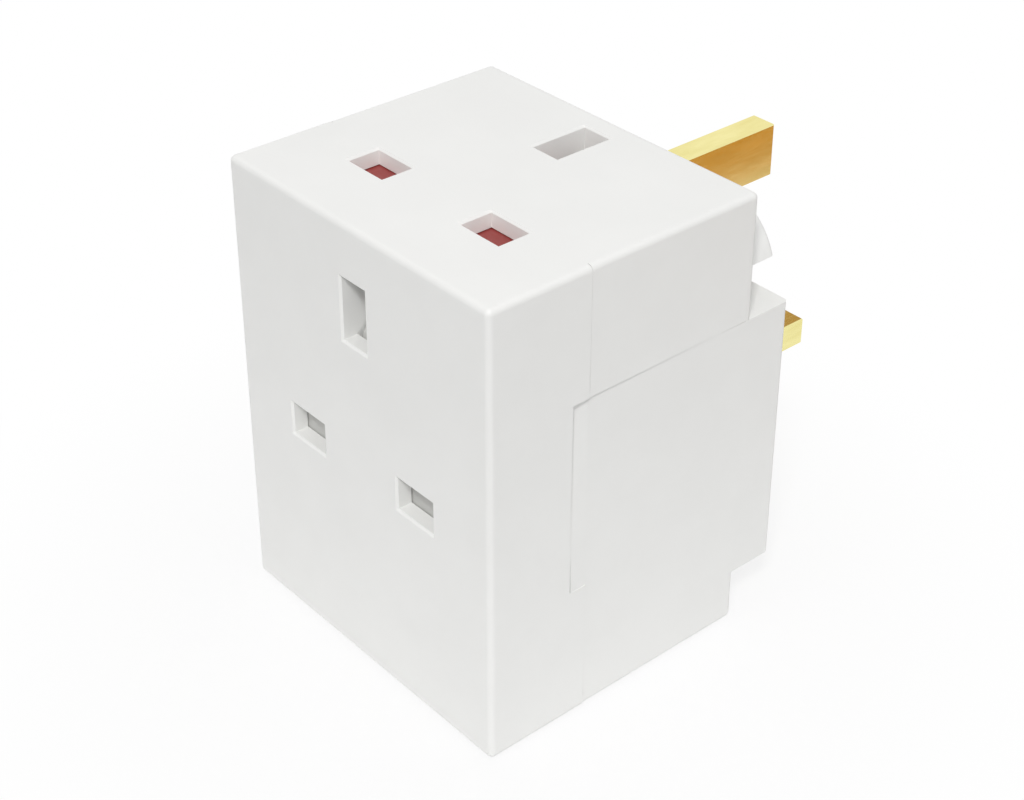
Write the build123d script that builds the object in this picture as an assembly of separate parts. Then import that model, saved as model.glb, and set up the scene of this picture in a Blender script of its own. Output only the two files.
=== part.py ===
"""Fused three-way plug-in socket adaptor of the British 13 A pattern.

The case is a shallow front cover and a deep rear housing that meet at a seam. A plug base closes the
rear: it carries the three pins and the fuse, and its long cheeks lie flush in the sides of the case.
There is a socket on the front, the top and the underside, each with an earth-operated shutter.

Millimetres, +Z up. The origin is the centre of the case's underside. The front socket faces -Y, and the
pins point along +Y. Line is on the +X side and neutral on the -X side.
"""
import os
from math import cos, sin, tau

from build123d import *

# Case
WIDTH = 51.0
BODY_DEPTH = 43.5
HEIGHT = 66.0
FACE_WALL = 2.3
SIDE_WALL = 2.2
REAR_WALL = 2.0
EDGE_RADIUS = 0.8
SEAM_STEP = 0.15
SEAM_GROOVE = 0.15
GROOVE_DEPTH = 0.8
FIT = 0.15
RIB = 1.2

# 13 A pin pattern: line to neutral, and earth to the line-neutral row
PITCH = 22.2
PIN_WIDTH = 6.35
PIN_THICK = 4.0
PIN_LENGTH = 17.7
EARTH_PIN_WIDTH = 8.0
EARTH_PIN_LENGTH = 22.7
PIN_TIP_CHAMFER = 1.2
PIN_EDGE_CHAMFER = 0.2
SLEEVE_LENGTH = 9.5
SLEEVE_WALL = 0.6
TENON_WIDTH = 2.4
TENON_HEIGHT = 2.0

# Sockets
EARTH_DROP = 12.2
EARTH_SETBACK = 8.1
SLOT_WIDTH = 7.0
SLOT_THICK = 4.8
EARTH_SLOT_WIDTH = 9.0
RIM_FLARE = 0.3
RIM_ANGLE = 45.0
COLLAR_DEPTH = 8.1

# Shutter, its guide plate and its spring
TRAVEL = 5.5
SHUTTER_THICK = 2.0
SHUTTER_OVERLAP = 0.5
SHUTTER_TAIL = 0.8
BLADE_HALF = 15.5
STEM_HALF = 3.3
RAMP_HALF = 2.0
RAMP_TOP_GAP = 0.5
RAMP_FOOT = 7.4
RAMP_BASE = 0.5
GUIDE_THICK = 1.2
GUIDE_CLEARANCE = 1.4
RAIL_GAP = 0.2
PEG_SIZE = 1.5
WINDOW_HALF = 1.5
SPRING_RADIUS = 0.95
SPRING_WIRE = 0.32
SPRING_TURNS = 5
SPRING_SIDES = 8

# Contact strips and clips
STRIP_THICK = 0.8
STRIP_WIDTH = 6.0
CLIP_THICK = 0.6
CLIP_GRIP_GAP = 0.15
CLIP_FLARE = 0.65
CLIP_BASE_FLARE = 0.3
CLIP_MOUTH_DEPTH = 7.2
CLIP_GRIP_DEPTH = 11.0
EARTH_CLIP_WIDTH = 4.0
EARTH_CLIP_MOUTH_DEPTH = 9.5
EARTH_CLIP_GRIP_DEPTH = 13.0
BASE_CLEARANCE = 0.4
BEND_RADIUS = 0.7

# Plug base
PLUG_PROJECTION = 6.9
BASE_WALL = 2.2
PLUG_WALL = 2.4
BLOCK_BOTTOM = 7.8
WELL_MARGIN = 2.55
LEDGE_RISE = 16.4
NOTCH_HEIGHT = 5.5
HEAD_RISE = 6.6
HEAD_HALF = 23.0
HEAD_RADIUS = 10.0
NECK_HALF = 17.5
NOTCH_RADIUS = 1.2
PLUG_EDGE_RADIUS = 0.8
CHEEK_THICK = 1.6
CHEEK_DRAFT = 0.3
SEAT_SKIN = 1.2
SEAT_FIT = 0.06
TONGUE_LENGTH = 2.5
TONGUE_DROP = 11.6
TONGUE_RAMP = 0.35
PIN_FIT = 0.06

# Cartridge fuse and its carrier
FUSE_LENGTH = 25.4
FUSE_RADIUS = 3.175
CAP_LENGTH = 5.5
CAP_WALL = 0.35
FUSE_CLIP_WIDTH = 4.0
FUSE_CLIP_THICK = 0.5
FUSE_CLIP_FLARE = 0.4
FUSE_CLIP_GRIP = 1.6
FUSE_SEAT_GAP = 0.2
CARRIER_WALL = 1.45
CARRIER_HALF = 5.2
CARRIER_MARGIN = 1.5
CRADLE_LENGTH = 10.0
CRADLE_WALL = 0.9
CRADLE_REACH = 1.0
PRY_SLOT = 3.0
PRY_DEPTH = 0.7

# Case screws
SCREW_SETIN = 6.3
SCREW_ABOVE_BLOCK = 4.2
SCREW_BELOW_LEDGE = 8.0
SCREW_RADIUS = 1.45
SCREW_HEAD_RADIUS = 2.8
SCREW_HEAD_HEIGHT = 2.0
SCREW_LENGTH = 19.0
SCREW_RECESS = 4.0
RECESS_WIDTH = 0.7
RECESS_SPAN = 3.0
RECESS_DEPTH = 0.9
POST_RADIUS = 2.8
THREAD_GAP = 0.05
HEAD_GAP = 0.3

# Places that follow from the sizes above
HALF = WIDTH / 2
HOUSING_HALF = HALF - SEAM_STEP
INNER_HALF = HALF - SIDE_WALL
FRONT = -BODY_DEPTH / 2
REAR = BODY_DEPTH / 2
REAR_INSIDE = REAR - REAR_WALL
PLUG_FACE = REAR + PLUG_PROJECTION
EARTH_HEIGHT = HEIGHT - EARTH_DROP
ROW_HEIGHT = EARTH_HEIGHT - PITCH
TOP_EARTH = REAR - EARTH_SETBACK
BOTTOM_EARTH = FRONT + EARTH_SETBACK
TOP_ROW = TOP_EARTH - PITCH
BOTTOM_ROW = BOTTOM_EARTH + PITCH
SEAM = TOP_ROW + SLOT_THICK / 2
SIDES = (-1, 1)

# Sheet coordinates of each socket: x to the right, y towards its earth slot, z out of the face
SOCKETS = {
    "front": Plane(origin=(0, FRONT, ROW_HEIGHT), x_dir=(1, 0, 0), z_dir=(0, -1, 0)),
    "top": Plane(origin=(0, TOP_ROW, HEIGHT), x_dir=(1, 0, 0), z_dir=(0, 0, 1)),
    "bottom": Plane(origin=(0, BOTTOM_ROW, 0), x_dir=(1, 0, 0), z_dir=(0, 0, -1)),
}

SHUTTER_TOP = FACE_WALL + FIT
SHUTTER_BOTTOM = SHUTTER_TOP + SHUTTER_THICK
GUIDE_TOP = SHUTTER_BOTTOM + FIT
BLADE_UPPER = SLOT_THICK / 2 + SHUTTER_OVERLAP
BLADE_LOWER = -SLOT_THICK / 2 - SHUTTER_TAIL
GUIDE_LOWER = FACE_WALL + GUIDE_CLEARANCE - (TOP_ROW - FRONT)
RAIL_INNER = BLADE_HALF + RAIL_GAP
EARTH_PIN_NEAR = PITCH - EARTH_PIN_WIDTH / 2
COLLAR_NEAR = PITCH - EARTH_SLOT_WIDTH / 2 - RIB / 2
PEG_NEAR = BLADE_UPPER + PEG_SIZE
WINDOW_NEAR = PEG_NEAR - FIT
WINDOW_FAR = COLLAR_NEAR - RIB
STEM_FAR = COLLAR_NEAR - FIT

STRIP_DEPTH = PIN_LENGTH + BASE_CLEARANCE + STRIP_THICK / 2
EARTH_STRIP_DEPTH = EARTH_PIN_LENGTH + BASE_CLEARANCE + STRIP_THICK / 2
EARTH_TAB = TOP_EARTH + EARTH_PIN_WIDTH / 2 + BASE_CLEARANCE + STRIP_THICK / 2

FUSE_Y = PLUG_FACE - CARRIER_WALL - FIT - FUSE_RADIUS
CARRIER_LENGTH = FUSE_LENGTH + 2 * CARRIER_MARGIN
FUSE_HEIGHT = BLOCK_BOTTOM + WELL_MARGIN + FIT + CARRIER_LENGTH / 2
UPPER_CAP = FUSE_HEIGHT + FUSE_LENGTH / 2 - CAP_LENGTH / 2
LOWER_CAP = FUSE_HEIGHT - FUSE_LENGTH / 2 + CAP_LENGTH / 2
CLIP_PLANE = FUSE_Y - FUSE_RADIUS - FUSE_SEAT_GAP - STRIP_THICK / 2

LEDGE_HEIGHT = ROW_HEIGHT + LEDGE_RISE
HEAD_BOTTOM = LEDGE_HEIGHT + NOTCH_HEIGHT
HEAD_TOP = EARTH_HEIGHT + HEAD_RISE
TONGUE_BOTTOM = ROW_HEIGHT - TONGUE_DROP
SCREW_HEIGHTS = (BLOCK_BOTTOM + SCREW_ABOVE_BLOCK, LEDGE_HEIGHT - SCREW_BELOW_LEDGE)

SEAT_FLOOR = HOUSING_HALF - CHEEK_THICK - FIT
SEAT_INSIDE = SEAT_FLOOR - SEAT_SKIN
TONGUE_FRONT = SEAM - TONGUE_LENGTH
SCREW_PLACES = [(side * (HALF - SCREW_SETIN), z) for side in SIDES for z in SCREW_HEIGHTS]
HEAD_SEAT = PLUG_FACE - SCREW_RECESS


def block(x, y, z):
    """A block between a pair of limits along each axis."""
    middle = [(low + high) / 2 for low, high in (x, y, z)]
    size = [high - low for low, high in (x, y, z)]
    return Pos(*middle) * Box(*size)


def mirrored(inner, outer, y, z):
    """The same block on both sides of the case, from its inner to its outer face."""
    return block((inner, outer), y, z) + block((-outer, -inner), y, z)


def rear_plane(y):
    """A sheet across the case, with x along X and y along Z, whose normal points forwards."""
    return Plane(origin=(0, y, 0), x_dir=(1, 0, 0), z_dir=(0, -1, 0))


def folded_strip(points, sheet, width, thickness):
    """A strip of metal folded along the points of a sheet, its width across the sheet."""
    path = sheet * FilletPolyline(*points, radius=BEND_RADIUS)
    section = Plane(origin=path @ 0, x_dir=sheet.z_dir, z_dir=path % 0) * Rectangle(width, thickness)
    return sweep(section, path=path)


def slot_outline():
    """The three slots of a socket."""
    row = Rectangle(SLOT_WIDTH, SLOT_THICK)
    earth = Rectangle(SLOT_THICK, EARTH_SLOT_WIDTH)
    return Pos(-PITCH / 2, 0) * row + Pos(PITCH / 2, 0) * row + Pos(0, PITCH) * earth


def slot_cut():
    """What the slots take out of a face wall: straight sides and a flared rim."""
    straight = extrude(slot_outline(), amount=-FACE_WALL - FIT)
    rim = extrude(Pos(0, 0, -RIM_FLARE) * slot_outline(), amount=2 * RIM_FLARE, taper=-RIM_ANGLE)
    return straight + rim


def earth_collar():
    """The walls inside the face, on three sides of the earth slot, that guide the pin and the ramp."""
    width = SLOT_THICK + 2 * RIB
    far = PITCH + EARTH_SLOT_WIDTH / 2
    outside = Pos(0, (COLLAR_NEAR + far + RIB) / 2) * Rectangle(width, far + RIB - COLLAR_NEAR)
    inside = Pos(0, (COLLAR_NEAR + far) / 2) * Rectangle(SLOT_THICK, far - COLLAR_NEAR)
    return extrude(Pos(0, 0, -FACE_WALL) * (outside - inside), amount=FACE_WALL - COLLAR_DEPTH)


def shutter_rails():
    """The two ribs inside the face that the shutter slides between and the guide plate sits on."""
    length = SLOT_THICK / 2 - GUIDE_LOWER
    rail = Pos(RAIL_INNER + RIB / 2, GUIDE_LOWER + length / 2) * Rectangle(RIB, length)
    pair = rail + mirror(rail, about=Plane.YZ)
    return extrude(Pos(0, 0, -FACE_WALL) * pair, amount=FACE_WALL - GUIDE_TOP)


def rounded_shell(half, y, end, inside_y):
    """A hollow block with rounded long edges and one rounded end, the first or last along Y."""
    shell = block((-half, half), y, (0, HEIGHT))
    rounded = shell.edges().filter_by(Axis.Y) + shell.faces().sort_by(Axis.Y)[end].edges()
    shell = fillet(rounded, EDGE_RADIUS)
    return shell - block((-INNER_HALF, INNER_HALF), inside_y, (FACE_WALL, HEIGHT - FACE_WALL))


def front_cover():
    """The front face and the first part of the four sides, with the posts that take the screws."""
    cover = rounded_shell(HALF, (FRONT, SEAM), 0, (FRONT + FACE_WALL, SEAM))
    seat_z = (TONGUE_BOTTOM, LEDGE_HEIGHT + SEAT_FIT)
    skin_z = (FACE_WALL, seat_z[1] + SEAT_SKIN)
    cover += mirrored(SEAT_INSIDE, INNER_HALF, (TONGUE_FRONT - FIT - SEAT_SKIN, SEAM), skin_z)
    cover -= mirrored(SEAT_FLOOR, HALF + FIT, (TONGUE_FRONT - FIT, SEAM), seat_z)
    for name in ("front", "bottom"):
        cover += SOCKETS[name] * earth_collar()
    for name in ("front", "top"):
        cover += SOCKETS[name] * shutter_rails()
    inner_face = rear_plane(FRONT + FACE_WALL)
    for x, z in SCREW_PLACES:
        cover += extrude(inner_face * Pos(x, z) * Circle(POST_RADIUS), amount=FRONT + FACE_WALL - REAR_INSIDE)
        pilot = rear_plane(REAR_INSIDE) * Pos(x, z) * Circle(SCREW_RADIUS + THREAD_GAP)
        cover -= extrude(pilot, amount=SCREW_LENGTH)
    for plane in SOCKETS.values():
        cover -= plane * slot_cut()
    return cover


def rear_housing():
    """The rest of the four sides and the rear wall, open where the pins and the fuse pass through."""
    housing = rounded_shell(HOUSING_HALF, (SEAM, REAR), -1, (SEAM, REAR_INSIDE))
    seat_z = (BLOCK_BOTTOM, LEDGE_HEIGHT + SEAT_FIT)
    skin_z = (FACE_WALL, seat_z[1] + SEAT_SKIN)
    housing += mirrored(SEAT_INSIDE, INNER_HALF, (SEAM, REAR_INSIDE), skin_z)
    housing -= mirrored(SEAT_FLOOR, HALF, (SEAM, REAR), seat_z)
    housing -= mirrored(HOUSING_HALF - GROOVE_DEPTH, HALF, (SEAM, SEAM + SEAM_GROOVE), (0, HEIGHT))
    housing += SOCKETS["top"] * earth_collar()
    housing += SOCKETS["bottom"] * shutter_rails()
    for name in ("top", "bottom"):
        housing -= SOCKETS[name] * slot_cut()
    half = PITCH / 2 + PIN_WIDTH / 2 + RIB / 2
    low = FUSE_HEIGHT - FUSE_LENGTH / 2 - RIB / 2
    high = max(FUSE_HEIGHT + FUSE_LENGTH / 2, ROW_HEIGHT + PIN_THICK / 2 + RIB) + RIB / 2
    housing -= block((-half, half), (REAR_INSIDE, REAR), (low, high))
    wall = rear_plane(REAR)
    housing -= extrude(
        wall * Pos(0, EARTH_HEIGHT) * Rectangle(PIN_THICK + 2 * PIN_FIT, EARTH_PIN_WIDTH + 2 * PIN_FIT),
        amount=REAR_WALL,
    )
    for x, z in SCREW_PLACES:
        housing -= extrude(wall * Pos(x, z) * Circle(SCREW_RADIUS + FIT), amount=REAR_WALL)
    return housing


def finger_notches(extra=0.0):
    """The two finger notches between the block and the head, each side further out by extra."""
    width = HALF - NECK_HALF
    notch = RectangleRounded(2 * width + 2 * extra, NOTCH_HEIGHT + 2 * extra, NOTCH_RADIUS + extra)
    middle = (LEDGE_HEIGHT + HEAD_BOTTOM) / 2
    return Pos(-HALF, middle) * notch + Pos(HALF, middle) * notch


def plug_block(inset=0.0):
    """The wide lower block of the plug base seen from behind, each side further in by inset."""
    height = LEDGE_HEIGHT - BLOCK_BOTTOM
    outline = Rectangle(2 * (HOUSING_HALF - inset), height - 2 * inset)
    return Pos(0, BLOCK_BOTTOM + height / 2) * outline


def plug_head(inset=0.0):
    """The rounded head of the plug base with the neck under it, each side further in by inset."""
    height = HEAD_TOP - LEDGE_HEIGHT
    outline = Rectangle(2 * (HEAD_HALF - inset), height)
    outline = fillet(outline.vertices().group_by(Axis.Y)[-1], HEAD_RADIUS - inset)
    return Pos(0, LEDGE_HEIGHT + height / 2 - inset) * outline


def plug_form():
    """The solid form of the plug base: block and head with rounded rear rims, and the finger notches."""
    face = rear_plane(PLUG_FACE)
    lower = extrude(face * plug_block(), amount=PLUG_PROJECTION)
    rim = lower.faces().sort_by(Axis.Y)[-1].edges()
    lower = fillet(rim.sort_by(Axis.Z)[:-1], PLUG_EDGE_RADIUS)
    upper = extrude(face * plug_head(), amount=PLUG_PROJECTION)
    rim = upper.faces().sort_by(Axis.Y)[-1].edges()
    upper = fillet(rim.sort_by(Axis.Z)[1:], PLUG_EDGE_RADIUS)
    return lower + upper - extrude(face * finger_notches(), amount=PLUG_PROJECTION)


def cheek_profile(inset, ramp):
    """Sections of a cheek and its tongue seen from above, set in at the seam and further at the tip."""
    inner = HOUSING_HALF - CHEEK_THICK
    root = REAR + BASE_WALL
    at_seam = HOUSING_HALF - inset
    panel = Polyline(
        (inner, root),
        (inner, SEAM),
        (at_seam, SEAM),
        (HOUSING_HALF, REAR),
        (HOUSING_HALF, root),
        close=True,
    )
    tongue = Polyline(
        (inner, SEAM + FIT),
        (inner, TONGUE_FRONT),
        (at_seam - ramp, TONGUE_FRONT),
        (at_seam, SEAM + FIT),
        close=True,
    )
    return make_face(panel), make_face(tongue)


def cheek(side):
    """A long cheek and the tongue that laps on to the front cover, set in at the top and flush below."""
    upper_panel, upper_tongue = cheek_profile(CHEEK_DRAFT, TONGUE_RAMP)
    lower_panel, lower_tongue = cheek_profile(0, -SEAM_STEP)
    top = Pos(0, 0, LEDGE_HEIGHT)
    solid = loft([Pos(0, 0, BLOCK_BOTTOM) * lower_panel, top * upper_panel], ruled=True)
    solid += loft([Pos(0, 0, TONGUE_BOTTOM) * lower_tongue, top * upper_tongue], ruled=True)
    return solid if side > 0 else mirror(solid, about=Plane.YZ)


def plug_base():
    """The moulding that closes the rear, with the pin holes, the fuse well and the screw bosses."""
    face = rear_plane(PLUG_FACE)
    base = plug_form()
    cavity_face = rear_plane(PLUG_FACE - PLUG_WALL)
    hollow = PLUG_PROJECTION - PLUG_WALL
    cavity = plug_block(BASE_WALL) + plug_head(BASE_WALL) - finger_notches(BASE_WALL)
    row_hole = Rectangle(PIN_WIDTH + 2 * PIN_FIT, PIN_THICK + 2 * PIN_FIT)
    row_collar = Rectangle(PIN_WIDTH + 2 * RIB, PIN_THICK + 2 * RIB)
    earth_hole = Rectangle(PIN_THICK + 2 * PIN_FIT, EARTH_PIN_WIDTH + 2 * PIN_FIT)
    earth_boss = Rectangle(PIN_THICK + 2 * RIB, EARTH_PIN_WIDTH + 2 * RIB)
    well_hole = Rectangle(2 * (CARRIER_HALF + FIT), CARRIER_LENGTH + 2 * FIT)
    well_wall = Rectangle(2 * (CARRIER_HALF + FIT) + RIB, CARRIER_LENGTH + 2 * FIT + RIB)
    pin_places = [Pos(side * PITCH / 2, ROW_HEIGHT) for side in SIDES]
    earth_place = Pos(0, EARTH_HEIGHT)
    well_place = Pos(0, FUSE_HEIGHT)
    kept = earth_place * earth_boss + well_place * well_wall
    for place in pin_places:
        kept += place * row_collar
    for x, z in SCREW_PLACES:
        kept += Pos(x, z) * Rectangle(2 * SCREW_SETIN, 2 * (SCREW_HEAD_RADIUS + RIB))
    base -= extrude(cavity_face * (cavity - kept), amount=hollow)
    holes = earth_place * earth_hole + well_place * well_hole
    for place in pin_places:
        holes += place * row_hole
    for x, z in SCREW_PLACES:
        holes += Pos(x, z) * Circle(SCREW_RADIUS + FIT)
        head = face * Pos(x, z) * Circle(SCREW_HEAD_RADIUS + HEAD_GAP)
        base -= extrude(head, amount=SCREW_RECESS)
    base -= extrude(face * holes, amount=PLUG_PROJECTION)
    for side in SIDES:
        base += cheek(side)
    return base


def shutter():
    """A blade across the line and neutral slots, with a stem and the ramp that the earth pin pushes."""
    blade_height = BLADE_UPPER - BLADE_LOWER
    blade = Pos(0, BLADE_LOWER + blade_height / 2) * Rectangle(2 * BLADE_HALF, blade_height)
    stem_length = STEM_FAR - BLADE_UPPER
    stem = Pos(0, BLADE_UPPER + stem_length / 2) * Rectangle(2 * STEM_HALF, stem_length)
    window_length = WINDOW_FAR - WINDOW_NEAR
    window = Pos(0, WINDOW_NEAR + window_length / 2) * Rectangle(2 * WINDOW_HALF, window_length)
    flat = extrude(Pos(0, 0, -SHUTTER_BOTTOM) * (blade + stem - window), amount=SHUTTER_THICK)
    ramp_far = EARTH_PIN_NEAR + TRAVEL - FIT
    ramp = make_face(
        Polyline(
            (STEM_FAR - RIB / 2, -SHUTTER_TOP),
            (EARTH_PIN_NEAR - FIT, -SHUTTER_TOP - RAMP_TOP_GAP),
            (ramp_far, -RAMP_FOOT),
            (ramp_far, -RAMP_FOOT - RAMP_BASE),
            (STEM_FAR + RIB, -RAMP_FOOT - RAMP_BASE),
            (STEM_FAR - RIB / 2, -SHUTTER_BOTTOM),
            close=True,
        )
    )
    side_sheet = Plane(origin=(0, 0, 0), x_dir=(0, 1, 0), z_dir=(1, 0, 0))
    return flat + extrude(side_sheet * ramp, amount=RAMP_HALF, both=True)


def shutter_guide():
    """The plate under the shutter, with pin holes, a slit for the ramp and a peg for the spring.

    The notch in its lower edge clears the earth pin of the next socket.
    """
    wide_far = BLADE_UPPER + SHUTTER_OVERLAP
    wide_half = RAIL_INNER + RIB
    wide = Pos(0, (GUIDE_LOWER + wide_far) / 2) * Rectangle(2 * wide_half, wide_far - GUIDE_LOWER)
    narrow = Pos(0, STEM_FAR / 2) * Rectangle(2 * STEM_HALF + 2 * RIB, STEM_FAR)
    notch_half = EARTH_PIN_WIDTH / 2
    notch_far = BLADE_LOWER - RIB
    notch = Pos(0, (GUIDE_LOWER + notch_far) / 2) * Rectangle(2 * notch_half, notch_far - GUIDE_LOWER)
    slit_near = STEM_FAR - RIB - TRAVEL
    slit_length = STEM_FAR - slit_near
    slit = Pos(0, slit_near + slit_length / 2) * Rectangle(2 * (RAMP_HALF + RAIL_GAP), slit_length)
    plate = wide + narrow - notch - slit
    for side in SIDES:
        plate -= Pos(side * PITCH / 2, 0) * Rectangle(SLOT_WIDTH, SLOT_THICK)
    solid = extrude(Pos(0, 0, -GUIDE_TOP - GUIDE_THICK) * plate, amount=GUIDE_THICK)
    peg = Pos(0, PEG_NEAR + PEG_SIZE / 2) * Rectangle(2 * (WINDOW_HALF - FIT), PEG_SIZE)
    return solid + extrude(Pos(0, 0, -GUIDE_TOP) * peg, amount=SHUTTER_THICK)


def shutter_spring():
    """The coil spring between the peg and the end of the stem's window, wound in short straight sides."""
    radius = SPRING_RADIUS - SPRING_WIRE / 2
    start = PEG_NEAR + PEG_SIZE + SPRING_WIRE
    length = WINDOW_FAR - SPRING_WIRE - start
    depth = (SHUTTER_TOP + GUIDE_TOP) / 2
    count = SPRING_TURNS * SPRING_SIDES
    points = []
    for step in range(count + 1):
        angle = tau * step / SPRING_SIDES
        points.append((radius * cos(angle), start + length * step / count, radius * sin(angle) - depth))
    coil = Polyline(*points)
    wire = Plane(origin=coil @ 0, z_dir=coil % 0) * Rectangle(SPRING_WIRE, SPRING_WIRE)
    return sweep(wire, path=coil, transition=Transition.RIGHT)


def clip_points(half_pin, mouth, grip, base):
    """Half an outline, then its mirror: a clip with a flared mouth, a grip and a flat base."""
    grip_half = half_pin + CLIP_GRIP_GAP + CLIP_THICK / 2
    half = [
        (grip_half + CLIP_FLARE, -mouth),
        (grip_half, -grip),
        (grip_half + CLIP_BASE_FLARE, -base),
    ]
    return half + [(-x, y) for x, y in reversed(half)]


def row_clip(side):
    """The clip that takes a line or neutral pin, in a socket's own coordinates."""
    sheet = Plane(origin=(side * PITCH / 2, 0, 0), x_dir=(0, 1, 0), z_dir=(1, 0, 0))
    points = clip_points(PIN_THICK / 2, CLIP_MOUTH_DEPTH, CLIP_GRIP_DEPTH, STRIP_DEPTH)
    return folded_strip(points, sheet, STRIP_WIDTH, CLIP_THICK)


def earth_clip():
    """The clip that takes an earth pin, in a socket's own coordinates."""
    sheet = Plane(origin=(0, PITCH, 0), x_dir=(1, 0, 0), z_dir=(0, -1, 0))
    points = clip_points(PIN_THICK / 2, EARTH_CLIP_MOUTH_DEPTH, EARTH_CLIP_GRIP_DEPTH, EARTH_STRIP_DEPTH)
    return folded_strip(points, sheet, EARTH_CLIP_WIDTH, CLIP_THICK)


def fuse_clip(z):
    """The clip that takes one end cap of the fuse."""
    sheet = Plane(origin=(0, 0, z), x_dir=(1, 0, 0), z_dir=(0, 0, 1))
    grip = FUSE_RADIUS + PIN_FIT + FUSE_CLIP_THICK / 2
    half = [
        (grip + FUSE_CLIP_FLARE, FUSE_Y + FUSE_RADIUS - FUSE_CLIP_THICK),
        (grip, FUSE_Y + FUSE_CLIP_GRIP),
        (grip + FIT, CLIP_PLANE),
    ]
    points = half + [(-x, y) for x, y in reversed(half)]
    return folded_strip(points, sheet, FUSE_CLIP_WIDTH, FUSE_CLIP_THICK)


def clip_plate(low, high):
    """The flat plate behind the contacts, from the fuse's clip across to the line pin's side."""
    half = STRIP_THICK / 2
    across = (-FUSE_RADIUS - RIB / 2, PITCH / 2 + STRIP_WIDTH / 2)
    return block(across, (CLIP_PLANE - half, CLIP_PLANE + half), (low, high))


def tenon(x, y, z, gap=0.0):
    """The tenon of a pin that is riveted through a strip at y, each side further out by gap."""
    outline = Rectangle(TENON_WIDTH + 2 * gap, TENON_HEIGHT + 2 * gap)
    return extrude(rear_plane(y + STRIP_THICK / 2) * Pos(x, z) * outline, amount=STRIP_THICK)


def row_strip(side, tail):
    """A line or neutral strip with its three clips, folded from the top socket down to its tail."""
    sheet = Plane(origin=(side * PITCH / 2, 0, 0), x_dir=(0, 1, 0), z_dir=(1, 0, 0))
    clip_half = PIN_THICK / 2 + CLIP_GRIP_GAP + CLIP_THICK + CLIP_BASE_FLARE
    points = [
        (TOP_ROW - clip_half, HEIGHT - STRIP_DEPTH),
        (FRONT + STRIP_DEPTH, HEIGHT - STRIP_DEPTH),
        (FRONT + STRIP_DEPTH, STRIP_DEPTH),
        (CLIP_PLANE, STRIP_DEPTH),
        (CLIP_PLANE, tail),
    ]
    strip = folded_strip(points, sheet, STRIP_WIDTH, STRIP_THICK)
    for plane in SOCKETS.values():
        strip += plane * row_clip(side)
    return strip


def neutral_strip():
    """The neutral strip, whose tail rises to the neutral pin."""
    tail = ROW_HEIGHT + PIN_THICK / 2 + RIB
    return row_strip(-1, tail) - tenon(-PITCH / 2, CLIP_PLANE, ROW_HEIGHT, PIN_FIT)


def line_strip():
    """The line strip, whose tail drops to the lower end of the fuse."""
    tail = LOWER_CAP - FUSE_CLIP_WIDTH / 2
    return row_strip(1, tail) + clip_plate(tail, LOWER_CAP + FUSE_CLIP_WIDTH / 2) + fuse_clip(LOWER_CAP)


def line_pin_clip():
    """The plate from the line pin to the upper end of the fuse."""
    half = FUSE_CLIP_WIDTH / 2
    low = min(ROW_HEIGHT - PIN_THICK / 2 - RIB, UPPER_CAP - half)
    plate = clip_plate(low, max(ROW_HEIGHT, UPPER_CAP) + half) + fuse_clip(UPPER_CAP)
    return plate - tenon(PITCH / 2, CLIP_PLANE, ROW_HEIGHT, PIN_FIT)


def earth_strip():
    """The earth strip with its three clips: down from the earth pin, forwards, and down to the base."""
    sheet = Plane(origin=(0, 0, 0), x_dir=(0, 1, 0), z_dir=(1, 0, 0))
    top_base = HEIGHT - EARTH_STRIP_DEPTH
    front_base = FRONT + EARTH_STRIP_DEPTH
    half_clip = EARTH_CLIP_WIDTH / 2
    main = [
        (EARTH_TAB, EARTH_HEIGHT + TENON_HEIGHT / 2 + RIB),
        (EARTH_TAB, top_base),
        (front_base, top_base),
        (front_base, EARTH_STRIP_DEPTH),
        (BOTTOM_EARTH - half_clip, EARTH_STRIP_DEPTH),
    ]
    strip = folded_strip(main, sheet, STRIP_WIDTH, STRIP_THICK)
    half = STRIP_THICK / 2
    riser_z = (top_base - BEND_RADIUS - STRIP_THICK, EARTH_HEIGHT + half_clip)
    strip += block((-STRIP_WIDTH / 2, STRIP_WIDTH / 2), (front_base - half, front_base + half), riser_z)
    for plane in SOCKETS.values():
        strip += plane * earth_clip()
    return strip - tenon(0, EARTH_TAB, EARTH_HEIGHT, PIN_FIT)


def pin_bar(x, z, y, width, thick, lost=0.0):
    """A straight rectangular bar along Y, each side lower by lost."""
    section = Plane(origin=(x, y[0], z), x_dir=(1, 0, 0), z_dir=(0, 1, 0))
    return extrude(section * Rectangle(width - 2 * lost, thick - 2 * lost), amount=y[1] - y[0])


def finished_pin(bar):
    """A bar with a chamfered tip and edges."""
    bar = chamfer(bar.faces().sort_by(Axis.Y)[-1].edges(), PIN_TIP_CHAMFER)
    return chamfer(bar.edges().filter_by(Axis.Y), PIN_EDGE_CHAMFER)


def earth_pin():
    """The long bare earth pin."""
    root = EARTH_TAB + STRIP_THICK / 2
    bar = pin_bar(0, EARTH_HEIGHT, (root, PLUG_FACE + EARTH_PIN_LENGTH), PIN_THICK, EARTH_PIN_WIDTH)
    return finished_pin(bar) + tenon(0, EARTH_TAB, EARTH_HEIGHT)


def sleeve_span():
    """Where the insulating sleeve lies along a line or neutral pin."""
    return (PLUG_FACE - PLUG_WALL, PLUG_FACE + SLEEVE_LENGTH)


def row_pin(side):
    """A line or neutral pin, necked where its sleeve lies."""
    x = side * PITCH / 2
    root = CLIP_PLANE + STRIP_THICK / 2
    bar = pin_bar(x, ROW_HEIGHT, (root, PLUG_FACE + PIN_LENGTH), PIN_WIDTH, PIN_THICK)
    pin = finished_pin(bar) + tenon(x, CLIP_PLANE, ROW_HEIGHT)
    sleeved = pin_bar(x, ROW_HEIGHT, sleeve_span(), PIN_WIDTH + FIT, PIN_THICK + FIT)
    core = pin_bar(x, ROW_HEIGHT, sleeve_span(), PIN_WIDTH, PIN_THICK, SLEEVE_WALL)
    return pin - (sleeved - core)


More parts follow.
